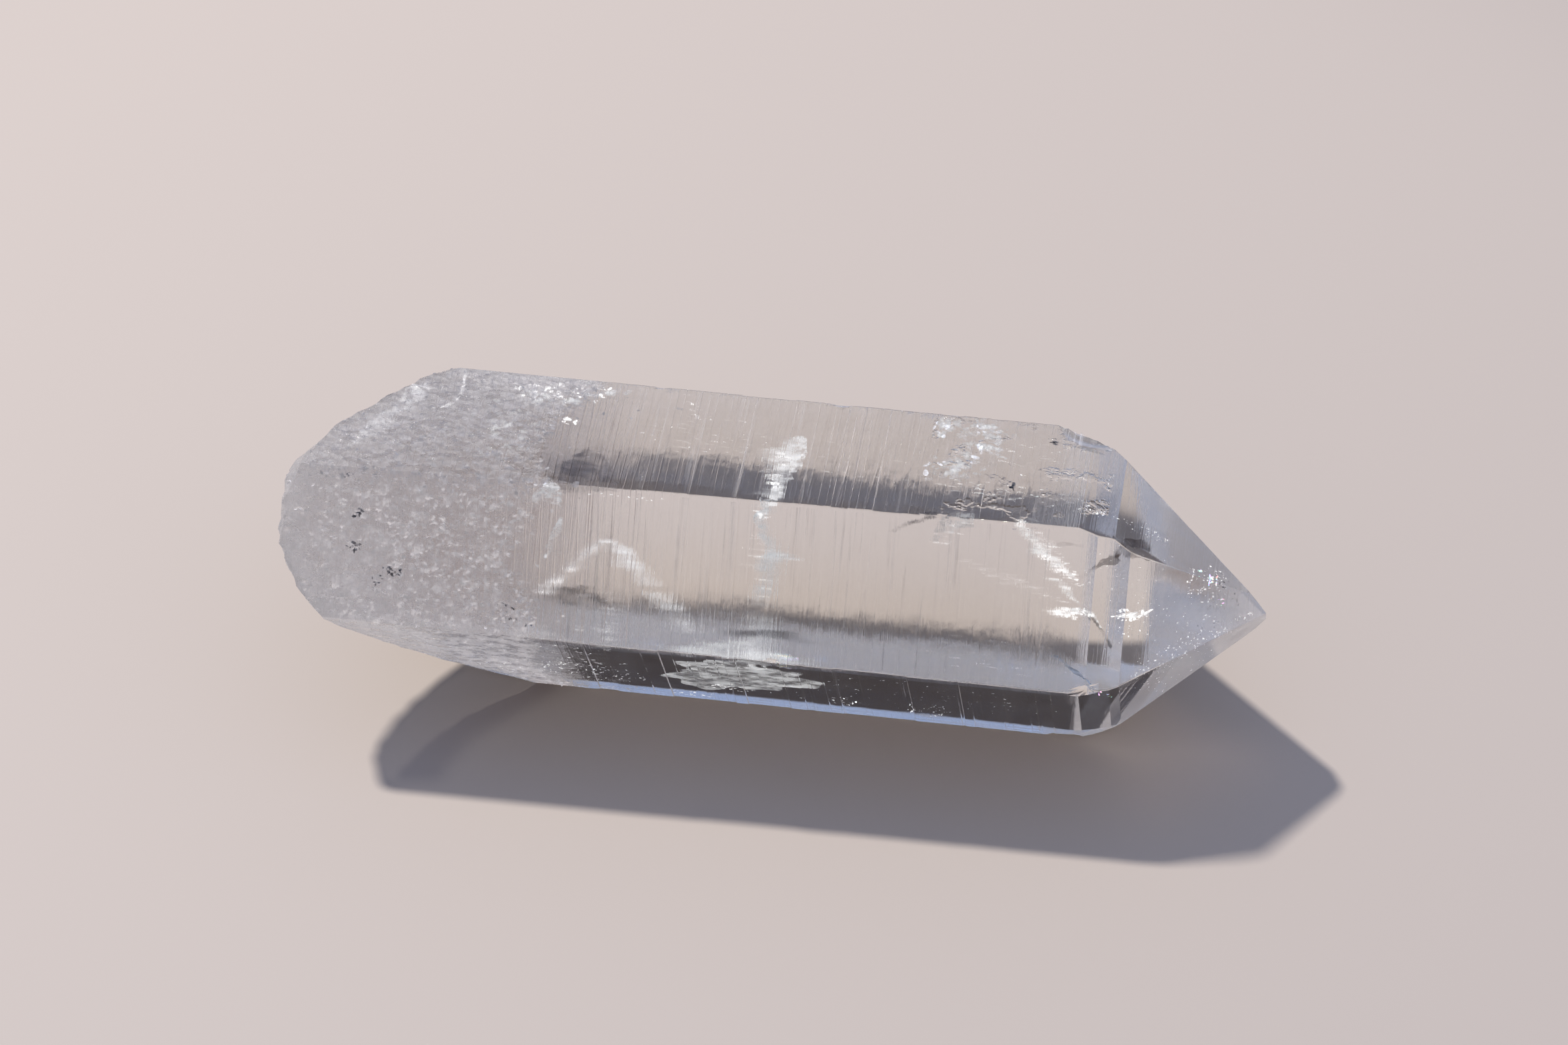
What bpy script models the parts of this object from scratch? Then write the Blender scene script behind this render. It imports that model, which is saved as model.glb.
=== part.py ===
"""A single clear quartz point, lying on one of its long prism faces.

The frame: the c-axis runs along +X and ends in the tip, +Z is up, and z = 0 is the prism face it rests on.
The origin is on that face, straight below the c-axis, and TIP_X behind the tip.
All lengths below are in millimetres, and MM turns them into Blender's metres.
"""

import math

import bmesh
import bpy
import numpy as np

MM = 0.001

# Overall size
LENGTH = 51.3
TIP_X = 26.0
AXIS_HEIGHT = 8.23

# The six prism faces, in order round the c-axis: name, direction of the outward normal in degrees from +Y
# towards +Z, distance from the c-axis at mid-length, how much nearer it comes for each millimetre of +X,
# and how far past the tip the plane of the point face above it would meet the c-axis.
FACES = (
    ("back_upper", 30.0, 7.33, -0.006, -0.5),
    ("top", 90.0, 7.5, -0.006, 1.1),
    ("front_upper", 150.0, 6.87, 0.016, 0.8),
    ("front_lower", 210.0, 6.72, 0.008, 0.5),
    ("bottom", 270.0, AXIS_HEIGHT, 0.0, 1.5),
    ("back_lower", 330.0, 8.61, 0.004, 0.4),
)

# Angles between a face and the c-axis: the point faces' is the same in every quartz crystal
POINT_FACE_ANGLE = math.radians(38.21)
STEEP_FACE_ANGLE = math.radians(16.0)
STEEP_FACE_WIDTH = 1.15

# Growth ledges: low steps across the prism faces, square to the c-axis
LEDGES_PER_FACE = 6
LEDGE_STEP = 0.07
LEDGE_RISER = 0.05
LEDGE_FIRST_X = -13.0
LEDGE_LAST_X = 15.0
LEDGE_SEED = 7

# The broken base: a rounded, pitted surface, set out from the point where it reaches furthest back
BASE_POLE_Y = -4.9
BASE_POLE_Z = 4.1
BASE_FLAT_RADIUS = 1.0
BASE_RISE = 0.34
BASE_POWER = 1.52
BASE_BACK_SHARE = 0.86
BASE_DOWN_SHARE = 0.96
BASE_DEEPEST = 13.5
BASE_DEEPEST_BLEND = 0.8
BASE_BOWLS = ((4.6, 0.55, 3.0), (1.5, 0.3, 8.0))
BASE_GRID_STEP = 0.52
BASE_GRID_HALF = 12.0

# How far the block that is cut away reaches behind the crystal, and the grown prism past both its ends
SPARE = 4.0

# Chips struck from the edges: the corner they sit on (the face before it and after it), x, ball radius, depth
CHIPS = (
    ("back_upper", "top", -18.9, 4.2, 0.42),
    ("back_upper", "top", 16.6, 3.4, 0.55),
    ("back_upper", "top", 3.1, 1.1, 0.12),
    ("back_upper", "top", -6.4, 0.9, 0.1),
    ("top", "front_upper", 9.3, 0.9, 0.09),
    ("top", "front_upper", -11.5, 1.3, 0.14),
    ("front_upper", "front_lower", 1.2, 1.0, 0.1),
    ("front_upper", "front_lower", 17.6, 1.4, 0.2),
    ("front_lower", "bottom", -8.2, 1.6, 0.16),
    ("front_lower", "bottom", 16.2, 2.2, 0.3),
    ("back_lower", "back_upper", 5.6, 1.7, 0.2),
    ("back_lower", "back_upper", -4.9, 1.0, 0.12),
    ("bottom", "back_lower", 8.4, 1.4, 0.16),
)

CRYSTAL_COLOUR = (0.93, 0.94, 0.95, 1.0)
CRYSTAL_ROUGHNESS = 0.04
QUARTZ_IOR = 1.544


def clear_scene():
    """Starts from an empty scene."""
    for old in list(bpy.data.objects):
        bpy.data.objects.remove(old)


def outward(face):
    """The (y, z) of a prism face's outward normal."""
    angle = math.radians(face[1])
    return np.array((math.cos(angle), math.sin(angle)))


def ledge_tables():
    """For each prism face, the x of each growth ledge and the height of the face after it."""
    draw = np.random.RandomState(LEDGE_SEED)
    tables = {}
    for name, *_ in FACES:
        places = np.sort(draw.uniform(LEDGE_FIRST_X, LEDGE_LAST_X, LEDGES_PER_FACE))
        places += np.arange(LEDGES_PER_FACE) * LEDGE_RISER
        heights = -LEDGE_STEP * draw.uniform(0.3, 1.0, LEDGES_PER_FACE)
        heights[1::2] = 0.0
        if name == "bottom":
            heights[:] = 0.0
        tables[name] = (places, heights)
    return tables


def face_distance(face, table, x):
    """Distance of a prism face from the c-axis at x, with its growth ledges."""
    _, _, middle, taper, _ = face
    places, heights = table
    stations = np.ravel(np.column_stack((places, places + LEDGE_RISER)))
    before = np.concatenate(([0.0], heights[:-1]))
    steps = np.ravel(np.column_stack((before, heights)))
    return middle - taper * x + float(np.interp(x, stations, steps))


def corner(first, second, tables, x):
    """Where two neighbouring faces' lines cross in the section at x, as (y, z) from the c-axis."""
    rows = np.array((outward(first), outward(second)))
    distances = [face_distance(face, tables[face[0]], x) for face in (first, second)]
    return np.linalg.solve(rows, np.array(distances))


def ring(tables, x):
    """The six corners of the section at x."""
    following = FACES[1:] + FACES[:1]
    return [(x, *corner(a, b, tables, x)) for a, b in zip(FACES, following)]


def place(x, y, z):
    """A place in metres in the crystal's frame, from millimetres along and from the c-axis."""
    return (x * MM, y * MM, (z + AXIS_HEIGHT) * MM)


def grow_prism():
    """The six-sided prism, longer than the crystal at both ends: rings of six corners, bridged."""
    tables = ledge_tables()
    stations = [-TIP_X - SPARE, TIP_X + SPARE]
    for name, (places, _) in tables.items():
        if name != "bottom":
            stations += list(places) + list(places + LEDGE_RISER)
    bm = bmesh.new()
    rings = []
    for x in sorted(stations):
        loop = [bm.verts.new(place(*point)) for point in ring(tables, x)]
        edges = [bm.edges.new((loop[i - 1], loop[i])) for i in range(len(loop))]
        if rings:
            bmesh.ops.bridge_loops(bm, edges=rings[-1][1] + edges)
        rings.append((loop, edges))
    for loop in (rings[0][0], rings[-1][0]):
        bm.faces.new(loop)
    bmesh.ops.recalc_face_normals(bm, faces=bm.faces)
    return bm


def cut_plane(bm, point, normal):
    """Cuts away what lies outside a plane, and closes the cut with one flat face."""
    everything = bm.verts[:] + bm.edges[:] + bm.faces[:]
    made = bmesh.ops.bisect_plane(bm, geom=everything, plane_co=point, plane_no=normal, clear_outer=True)
    rim = [item for item in made["geom_cut"] if isinstance(item, bmesh.types.BMEdge)]
    if rim:
        bmesh.ops.contextual_create(bm, geom=rim)


def grow_point(bm):
    """Cuts the six point faces, and the narrow steep face between each of them and its prism face."""
    pitch = math.tan(POINT_FACE_ANGLE)
    for face in FACES:
        _, _, middle, taper, beyond = face
        y, z = outward(face)
        meets_axis = TIP_X + beyond
        cut_plane(bm, place(meets_axis, 0.0, 0.0), (pitch, y, z))
        edge_x = (pitch * meets_axis - middle) / (pitch - taper)
        start_x = edge_x - STEEP_FACE_WIDTH
        distance = middle - taper * start_x
        steep = (math.tan(STEEP_FACE_ANGLE), y, z)
        cut_plane(bm, place(start_x, y * distance, z * distance), steep)
    bmesh.ops.recalc_face_normals(bm, faces=bm.faces)


def nearest_bowl(y, z, size, seed):
    """Distance to the nearest of the points scattered one to a cell of this size, as a share of the size."""
    cell_y, cell_z = np.floor(y / size), np.floor(z / size)
    nearest = np.full(np.shape(y), 9.0)
    for step_y in (-1, 0, 1):
        for step_z in (-1, 0, 1):
            i, j = cell_y + step_y, cell_z + step_z
            jitter_y = np.modf(np.abs(np.sin(i * 12.9898 + j * 78.233 + seed) * 4375.85))[0]
            jitter_z = np.modf(np.abs(np.sin(i * 39.346 + j * 11.135 + seed) * 2634.53))[0]
            away = np.hypot(y / size - i - jitter_y, z / size - j - jitter_z)
            nearest = np.minimum(nearest, away)
    return nearest


def base_x(y, z):
    """x of the broken base over the section: flat at its pole, then rising to a deepest plane, with bowls."""
    across = y - BASE_POLE_Y
    across = np.where(across > 0, across * BASE_BACK_SHARE, across)
    up = z - BASE_POLE_Z
    up = np.where(up < 0, up * BASE_DOWN_SHARE, up)
    out = np.maximum(np.hypot(across, up) - BASE_FLAT_RADIUS, 0.0)
    rise = BASE_RISE * out**BASE_POWER
    blend = BASE_DEEPEST_BLEND
    rise = -blend * np.logaddexp(-rise / blend, -BASE_DEEPEST / blend)
    bowls = 0.0
    for size, depth, seed in BASE_BOWLS:
        bowls = bowls + depth * (0.5 - nearest_bowl(y, z, size, seed) ** 2)
    return TIP_X - LENGTH + rise + bowls


def base_cutter():
    """A closed block behind the crystal whose front is the broken base."""
    count = int(2 * BASE_GRID_HALF / BASE_GRID_STEP)
    bm = bmesh.new()
    bmesh.ops.create_grid(bm, x_segments=count, y_segments=count, size=BASE_GRID_HALF)
    for v in bm.verts:
        y, z = v.co.x, v.co.y
        v.co = place(float(base_x(np.array(y), np.array(z))), y, z)
    grown = bmesh.ops.extrude_face_region(bm, geom=list(bm.faces))["geom"]
    for item in grown:
        if isinstance(item, bmesh.types.BMVert):
            item.co.x = (-TIP_X - 2 * SPARE) * MM
    bmesh.ops.recalc_face_normals(bm, faces=bm.faces)
    return bm


def chip_cutter():
    """The balls whose sides make the shell-shaped chips along the edges."""
    tables = ledge_tables()
    faces = {face[0]: face for face in FACES}
    bm = bmesh.new()
    for first, second, x, radius, depth in CHIPS:
        y, z = corner(faces[first], faces[second], tables, x)
        out = math.atan2(z, y)
        reach = math.hypot(y, z) + radius - depth
        ball = bmesh.ops.create_icosphere(bm, subdivisions=3, radius=radius * MM)["verts"]
        bmesh.ops.translate(bm, verts=ball, vec=place(x, math.cos(out) * reach, math.sin(out) * reach))
    return bm


def as_object(name, bm):
    """Puts a bmesh into a named object in the scene."""
    mesh = bpy.data.meshes.new(name)
    bm.to_mesh(mesh)
    bm.free()
    obj = bpy.data.objects.new(name, mesh)
    bpy.context.scene.collection.objects.link(obj)
    return obj


def cut(obj, cutter):
    """Takes the cutter's shape out of the object, and keeps the cutter out of the render."""
    cutter.hide_render = True
    cutter.display_type = "WIRE"
    modifier = obj.modifiers.new(cutter.name, "BOOLEAN")
    modifier.operation = "DIFFERENCE"
    modifier.solver = "EXACT"
    modifier.object = cutter


def clear_quartz():
    """Colourless, see-through quartz."""
    material = bpy.data.materials.new("clear_quartz")
    material.use_nodes = True
    shader = material.node_tree.nodes["Principled BSDF"]
    shader.inputs["Base Color"].default_value = CRYSTAL_COLOUR
    shader.inputs["Roughness"].default_value = CRYSTAL_ROUGHNESS
    shader.inputs["Metallic"].default_value = 0.0
    shader.inputs["IOR"].default_value = QUARTZ_IOR
    shader.inputs["Transmission Weight"].default_value = 1.0
    return material


def main():
    """Grows the crystal, breaks it off its base and chips its edges."""
    clear_scene()
    bm = grow_prism()
    grow_point(bm)
    crystal = as_object("quartz_crystal", bm)
    crystal.data.materials.append(clear_quartz())
    cut(crystal, as_object("broken_base", base_cutter()))
    cut(crystal, as_object("edge_chips", chip_cutter()))


main()
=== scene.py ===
import math

import bmesh
import bpy
import numpy as np
from mathutils import Matrix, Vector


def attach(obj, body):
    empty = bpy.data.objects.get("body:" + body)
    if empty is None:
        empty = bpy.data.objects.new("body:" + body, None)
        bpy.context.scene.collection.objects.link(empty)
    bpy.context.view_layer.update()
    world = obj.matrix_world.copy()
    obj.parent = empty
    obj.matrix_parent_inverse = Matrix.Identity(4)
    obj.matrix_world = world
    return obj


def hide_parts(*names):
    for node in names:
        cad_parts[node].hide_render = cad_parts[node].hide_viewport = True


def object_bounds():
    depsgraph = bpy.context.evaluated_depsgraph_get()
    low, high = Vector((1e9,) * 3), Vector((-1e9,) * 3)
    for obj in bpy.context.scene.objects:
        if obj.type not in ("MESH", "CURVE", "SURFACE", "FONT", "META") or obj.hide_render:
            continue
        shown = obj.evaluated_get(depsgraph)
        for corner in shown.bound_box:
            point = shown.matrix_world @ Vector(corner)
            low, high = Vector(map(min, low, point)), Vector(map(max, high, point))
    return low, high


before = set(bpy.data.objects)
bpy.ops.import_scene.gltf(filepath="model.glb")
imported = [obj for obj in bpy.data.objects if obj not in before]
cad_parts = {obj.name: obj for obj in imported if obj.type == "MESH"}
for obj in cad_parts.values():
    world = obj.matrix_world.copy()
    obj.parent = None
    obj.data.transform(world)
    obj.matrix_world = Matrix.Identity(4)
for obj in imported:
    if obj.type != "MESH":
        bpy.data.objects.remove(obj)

# A clear quartz point lying on a prism face. Lengths in the dictionaries are millimetres, x runs along the
# c-axis to the tip, y and z are measured from the c-axis, and angles are degrees.
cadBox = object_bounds()
mm = 0.001

crystal = {
    "length": 51.3,
    "tipX": 26.0,
    "axisHeight": 8.23,
    # name, angle of the normal from +Y to +Z, distance at mid-length, taper per mm, reach past the tip
    "faces": (
        ("backUpper", 30.0, 7.33, -0.006, -0.5),
        ("top", 90.0, 7.5, -0.006, 1.1),
        ("frontUpper", 150.0, 6.87, 0.016, 0.8),
        ("frontLower", 210.0, 6.72, 0.008, 0.5),
        ("bottom", 270.0, 8.23, 0.0, 1.5),
        ("backLower", 330.0, 8.61, 0.004, 0.4),
    ),
    "pointAngle": 38.21,
    "steepAngle": 16.0,
    "steepWidth": 1.15,
    "inset": 0.012,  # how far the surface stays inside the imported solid
    # low steps across each face, and fine lines that reach only part of the way: how many, how high, how long
    # each riser is, least distance in risers, least share of the height, and what every second one keeps
    "steps": {"count": 13, "height": 0.05, "riser": 0.05, "apart": 1.5, "least": 0.15, "second": 0.25},
    "lines": {"count": 34, "height": 0.045, "riser": 0.06, "apart": 0.5, "least": 0.2, "second": 0.1},
    "stepFrom": -8.8,
    "stepTo": 15.5,
    "rowSpacing": 0.5,
    "joinX": -9.0,  # rings are square to the axis past here, and lean towards the broken base before it
    "baseRows": 74, "baseCrowding": 1.15,
    "capRows": 46, "capCrowding": 1.2, "rimBlend": 0.06,
    "lineReach": (0.85, 1.2),  # how much of a line shows, and how much that varies
    "lineMargin": 0.08,  # share of a face's width in which a line fades towards its edges
    "edgePull": 0.016,
    "edgeNick": 0.1,
    "nickLevel": 0.18,
    "edgeWidth": 0.006,  # shares of a face's width
    "nickWidth": 0.1,
    "seed": 7,
}

brokenBase = {
    "poleY": -4.9, "poleZ": 4.1, "flatRadius": 1.0,
    "rise": 0.34, "power": 1.52, "backShare": 0.86, "downShare": 0.96,
    "deepest": 13.5, "deepestBlend": 0.8,
    "bowls": ((4.6, 0.55, 3.0), (1.5, 0.3, 8.0)),  # cell size, depth, seed
    "fineBowls": ((0.8, 0.16, 5.0), (0.42, 0.08, 2.0)),
    "middle": (-1.0, 0.4),
    "scallop": 0.34, "scallopPitch": 0.075,  # depth in mm, and pitch as a share of a face's width
}

frostLine = {  # how far towards the point the milky, frosted part reaches, by the share of the way round
    "turn": (0.0, 0.3, 0.7, 1.0, 1.2, 1.4, 1.55, 1.7, 1.85, 2.0, 2.5, 3.0, 4.0, 5.0, 6.0),
    "x": (-9.6, -11.2, -12.0, -10.7, -11.5, -12.5, -12.9, -12.1, -11.3, -11.0, -11.6, -10.8, -13.0, -12.0,
          -9.6),
}

chips = (  # corner between two faces (0 is backUpper and top), x, ball radius, depth
    (0, -18.9, 4.2, 0.42), (0, 16.6, 3.4, 0.55), (0, 3.1, 1.1, 0.12), (0, -6.4, 0.9, 0.1),
    (1, 9.3, 0.9, 0.09), (1, -11.5, 1.3, 0.14), (2, 1.2, 1.0, 0.1), (2, 17.6, 1.4, 0.2),
    (3, -8.2, 1.6, 0.16), (3, 16.2, 2.2, 0.3), (5, 5.6, 1.7, 0.2), (5, -4.9, 1.0, 0.12), (4, 8.4, 1.4, 0.16),
)

view = {  # the photograph's camera, found from the crystal's edges
    "imageWide": 2353, "imageHigh": 1568,
    "elevation": 44.5, "azimuth": 8.5,
    "place": (33.125, -217.096, 226.508),
    "focalPixels": 8884.7,
    "sensor": 36.0,
}

# The crystal's planes

faceNormals = np.radians([face[1] for face in crystal["faces"]])
faceNormals = np.stack((np.cos(faceNormals), np.sin(faceNormals)), axis=1)
faceAlong = np.stack((-faceNormals[:, 1], faceNormals[:, 0]), axis=1)
faceMiddle = np.array([face[2] for face in crystal["faces"]])
faceTaper = np.array([face[3] for face in crystal["faces"]])
pointEnd = crystal["tipX"] + np.array([face[4] for face in crystal["faces"]])
pitch = math.tan(math.radians(crystal["pointAngle"]))
steepPitch = math.tan(math.radians(crystal["steepAngle"]))
pointEdge = (pitch * pointEnd - faceMiddle) / (pitch - faceTaper)
steepStart = pointEdge - crystal["steepWidth"]


def growthTables(kind, seed):
    # for each face, the x of each step or line across it and how far the face stands back after it
    step = crystal[kind]
    draw = np.random.RandomState(seed)
    tables = []
    for _ in crystal["faces"]:
        places = np.sort(draw.uniform(crystal["stepFrom"], crystal["stepTo"], step["count"]))
        places += np.arange(step["count"]) * step["riser"] * step["apart"]
        depths = step["height"] * draw.uniform(step["least"], 1.0, step["count"])
        depths[1::2] *= step["second"]
        depths[-1] = 0.0
        tables.append((places, depths))
    return tables


stepTables = growthTables("steps", crystal["seed"])
lineTables = growthTables("lines", crystal["seed"] + 1)
for face, table in zip(crystal["faces"], stepTables):
    if face[0] == "bottom":
        table[1][:] = 0.0  # the face that it rests on is plain


def steppedDepth(x, table, riser):
    # how far a face stands back at x: straight lines between the foot and the head of each step
    places, depths = table
    stations = np.ravel(np.column_stack((places, places + riser)))
    before = np.concatenate(([0.0], depths[:-1]))
    return np.interp(x, stations, np.ravel(np.column_stack((before, depths))))


def faceDistances(x):
    # distance of the six faces from the axis at x: the nearest of prism plane, steep plane and point plane,
    # and no further than the sum of both neighbours, where a face has run out near the tip
    x = np.asarray(x, float)
    steps = np.stack([steppedDepth(x, table, crystal["steps"]["riser"]) for table in stepTables], axis=-1)
    x = x[..., None]
    prism = faceMiddle - faceTaper * x - steps
    steep = faceMiddle - faceTaper * steepStart - steepPitch * (x - steepStart)
    point = pitch * (pointEnd - x)
    near = np.minimum(np.minimum(prism, steep), point) - crystal["inset"]
    return np.minimum(near, np.roll(near, 1, -1) + np.roll(near, -1, -1))


def sidePoint(x, turn):
    # (y, z) on the side at x: turn runs from 0 to 6 round the crystal, whole on each edge, and between two
    # edges the point is a share of the straight line from one corner to the next
    near = faceDistances(x)
    following = np.roll(near, -1, -1)
    along = (following - near / 2) * 2 / math.sqrt(3)
    corners = near[..., None] * faceNormals + along[..., None] * faceAlong
    first = np.floor(turn).astype(int) % 6
    share = (turn - np.floor(turn))[..., None]
    start = np.take_along_axis(corners, first[..., None, None].repeat(2, -1), axis=-2)[..., 0, :]
    end = np.take_along_axis(corners, ((first + 1) % 6)[..., None, None].repeat(2, -1), axis=-2)[..., 0, :]
    return start * (1 - share) + end * share


def lineDepth(x, turn):
    # how far the surface stands back for the fine lines: a stepped profile along x, faded by slow waves
    depth = np.zeros(np.broadcast(x, turn).shape)
    face = (np.floor(turn).astype(int) + 1) % 6
    for number, table in enumerate(lineTables):
        depth = np.where(face == number, steppedDepth(x, table, crystal["lines"]["riser"]), depth)
    share = turn - np.floor(turn)
    usual, varied = crystal["lineReach"]
    reach = np.clip(usual + varied * wobble(x * 0.5, turn * 2.0, 1.2, 0.7), 0.0, 1.0)
    return depth * reach * np.clip(np.minimum(share, 1 - share) / crystal["lineMargin"], 0.0, 1.0)


def nearestPoint(y, z, size, seed):
    # distance to the nearest of points scattered one to a cell, as a share of the cell
    cellY, cellZ = np.floor(y / size), np.floor(z / size)
    nearest = np.full(np.shape(y), 9.0)
    for stepY in (-1, 0, 1):
        for stepZ in (-1, 0, 1):
            i, j = cellY + stepY, cellZ + stepZ
            jitterY = np.modf(np.abs(np.sin(i * 12.9898 + j * 78.233 + seed) * 4375.85))[0]
            jitterZ = np.modf(np.abs(np.sin(i * 39.346 + j * 11.135 + seed) * 2634.53))[0]
            nearest = np.minimum(nearest, np.hypot(y / size - i - jitterY, z / size - j - jitterZ))
    return nearest


def baseX(y, z):
    # x of the broken base: rise * distance^power from its pole, levelled off at the deepest, with bowls
    across = y - brokenBase["poleY"]
    across = np.where(across > 0, across * brokenBase["backShare"], across)
    up = z - brokenBase["poleZ"]
    up = np.where(up < 0, up * brokenBase["downShare"], up)
    out = np.maximum(np.hypot(across, up) - brokenBase["flatRadius"], 0.0)
    blend = brokenBase["deepestBlend"]
    rise = brokenBase["rise"] * out**brokenBase["power"]
    rise = -blend * np.logaddexp(-rise / blend, -brokenBase["deepest"] / blend)
    for size, depth, seed in brokenBase["bowls"]:
        rise = rise + depth * (0.5 - nearestPoint(y, z, size, seed) ** 2)
    for size, depth, seed in brokenBase["fineBowls"]:
        rise = rise + depth * np.clip(1.0 - 1.6 * nearestPoint(y, z, size, seed) ** 2, 0.0, 1.0)
    return crystal["tipX"] - crystal["length"] + rise


def rimX(turn):
    # x where the broken base meets the side, found by stepping between the two
    x = np.full(np.shape(turn), -18.0)
    for _ in range(12):
        section = sidePoint(x, turn)
        x = baseX(section[..., 0], section[..., 1])
    return x


def wobble(x, turn, rate, seed):
    # a smooth random-looking value from -1 to 1: four crossed sine waves
    a = np.sin(x * rate + seed) * np.cos(turn * rate * 1.7 + 2.3 * seed)
    b = np.sin(x * rate * 2.3 + turn * 3.1 + seed * 1.7) * np.cos(x * rate * 1.3 - turn * 5.3)
    return 0.6 * a + 0.4 * b


def pullEdges(x, turn, section):
    # edges drawn in a little towards the axis, with small nicks of uneven depth
    corner = np.round(turn)
    fromEdge = np.abs(turn - corner)
    nick = wobble(x, corner, 3.1, 4.0) * wobble(x, corner, 9.7, 1.0) - crystal["nickLevel"]
    nick = np.clip(nick, 0.0, 1.0)
    pull = crystal["edgePull"] + crystal["edgeNick"] * nick
    width = crystal["edgeWidth"] + crystal["nickWidth"] * nick
    pull = pull * np.clip(1.0 - fromEdge / width, 0.0, 1.0)
    pull = pull + lineDepth(x, turn)
    size = np.maximum(np.linalg.norm(section, axis=-1), 0.2)
    return section * (1.0 - np.minimum(pull / size, 0.2))[..., None]


def strikeChips(points):
    # each chip is the side of a ball: a point inside the ball moves towards the axis until it is on it
    for corner, x, radius, depth in chips:
        at = sidePoint(np.array([x]), np.array([float(corner)]))[0]
        out = at / np.linalg.norm(at)
        ball = np.array([x, *(at + out * (radius - depth))])
        inward = np.array([0.0, -out[0], -out[1]])
        away = points - ball
        along = away @ inward
        room = along**2 - (away**2).sum(-1) + radius**2
        move = np.where((away**2).sum(-1) < radius**2, -along + np.sqrt(np.maximum(room, 0.0)), 0.0)
        points = points + move[..., None] * inward
    return points


def inFrame(points):
    # metres in the crystal's frame, from millimetres from the c-axis
    return (points + np.array([0.0, 0.0, crystal["axisHeight"]])) * mm


def makeMesh(name, points, faces, smooth=None):
    # one mesh object from an array of places in metres and an array of faces with the same number of corners
    mesh = bpy.data.meshes.new(name)
    count, corners = faces.shape
    mesh.vertices.add(len(points))
    mesh.vertices.foreach_set("co", np.ravel(points).astype(np.float32))
    mesh.loops.add(count * corners)
    mesh.loops.foreach_set("vertex_index", np.ravel(faces).astype(np.int32))
    mesh.polygons.add(count)
    mesh.polygons.foreach_set("loop_start", np.arange(count, dtype=np.int32) * corners)
    if smooth is not None:
        mesh.polygons.foreach_set("use_smooth", smooth)
    mesh.update(calc_edges=True)
    mesh.validate()
    piece = bpy.data.objects.new(name, mesh)
    bpy.context.scene.collection.objects.link(piece)
    return piece


def frostDepth(x, turn):
    # how many millimetres a place lies behind the frost line, never more than 4 either way
    return np.clip(np.interp(turn % 6, frostLine["turn"], frostLine["x"]) - x, -4.0, 4.0)


def gridFaces(rows, columns, closed):
    # the squares of a grid of rows and columns, each row closed to a ring if asked
    across = np.arange(columns if closed else columns - 1)
    start = (np.arange(rows - 1) * columns)[:, None]
    a = start + across
    b = start + (across + 1) % columns
    return np.stack((a, b, b + columns, a + columns), axis=-1).reshape(-1, 4)


def dressPiece(piece, material, shades=False):
    # what is inside scatters light onwards more than it blocks it, so it throws no shadow of its own
    piece.data.materials.append(material)
    piece.visible_shadow = shades
    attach(piece, "root")


# Node helpers


def setInputs(tree, node, values):
    # a value from another node is linked, and a plain one is set on the node's own socket
    for key, value in values.items():
        if isinstance(value, bpy.types.NodeSocket):
            tree.links.new(value, node.inputs[key])
        else:
            node.inputs[key].default_value = value


def addNode(tree, kind, values=None, **settings):
    node = tree.nodes.new(kind)
    for key, value in settings.items():
        setattr(node, key, value)
    setInputs(tree, node, values or {})
    return node


def addMath(tree, operation, first, second=0.0, third=0.0):
    return addNode(tree, "ShaderNodeMath", {0: first, 1: second, 2: third}, operation=operation).outputs[0]


def addBlend(tree, factor, first, second):
    # a colour that goes from the first to the second with the factor
    sockets = {"Factor": factor, 6: first, 7: second}
    return addNode(tree, "ShaderNodeMix", sockets, data_type="RGBA").outputs[2]


def addRange(tree, value, low, high, toLow=0.0, toHigh=1.0, soft=False):
    # the value's range from low to high made toLow to toHigh, with slow ends if soft
    ends = {"Value": value, "From Min": low, "From Max": high, "To Min": toLow, "To Max": toHigh}
    kind = "SMOOTHSTEP" if soft else "LINEAR"
    return addNode(tree, "ShaderNodeMapRange", ends, interpolation_type=kind).outputs[0]


def addNoise(tree, place, scale, detail, roughness=0.5):
    values = {"Vector": place, "Scale": scale, "Detail": detail, "Roughness": roughness}
    return addNode(tree, "ShaderNodeTexNoise", values).outputs[0]


def addStretch(tree, place, rates):
    # a place with its x, y and z multiplied by their own rates
    return addNode(tree, "ShaderNodeVectorMath", {0: place, 1: rates}, operation="MULTIPLY").outputs[0]


def newMaterial(name):
    material = bpy.data.materials.new(name)
    material.use_nodes = True
    return material, material.node_tree, material.node_tree.nodes["Principled BSDF"]


def millimetres(tree):
    # Object coordinates in millimetres
    place = addNode(tree, "ShaderNodeTexCoord").outputs["Object"]
    scaled = addNode(tree, "ShaderNodeVectorMath", {0: place, "Scale": 1000.0}, operation="SCALE")
    return scaled.outputs["Vector"]


def newGroup(name, numbers, output):
    # a node group with a Place and named numbers going in, and one value coming out
    group = bpy.data.node_groups.new(name, "ShaderNodeTree")
    group.interface.new_socket("Place", in_out="INPUT", socket_type="NodeSocketVector")
    for key, value in numbers.items():
        group.interface.new_socket(key, in_out="INPUT", socket_type="NodeSocketFloat").default_value = value
    group.interface.new_socket(output, in_out="OUTPUT", socket_type="NodeSocketFloat")
    return group, addNode(group, "NodeGroupInput").outputs, addNode(group, "NodeGroupOutput").inputs[output]


def useGroup(tree, group, place, *numbers):
    # the group's value at a place, with its numbers in the order in which they were named
    node = addNode(tree, "ShaderNodeGroup", node_tree=group)
    tree.links.new(place, node.inputs["Place"])
    for socket, value in zip(list(node.inputs)[1:], numbers):
        socket.default_value = value
    return node.outputs[0]


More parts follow.
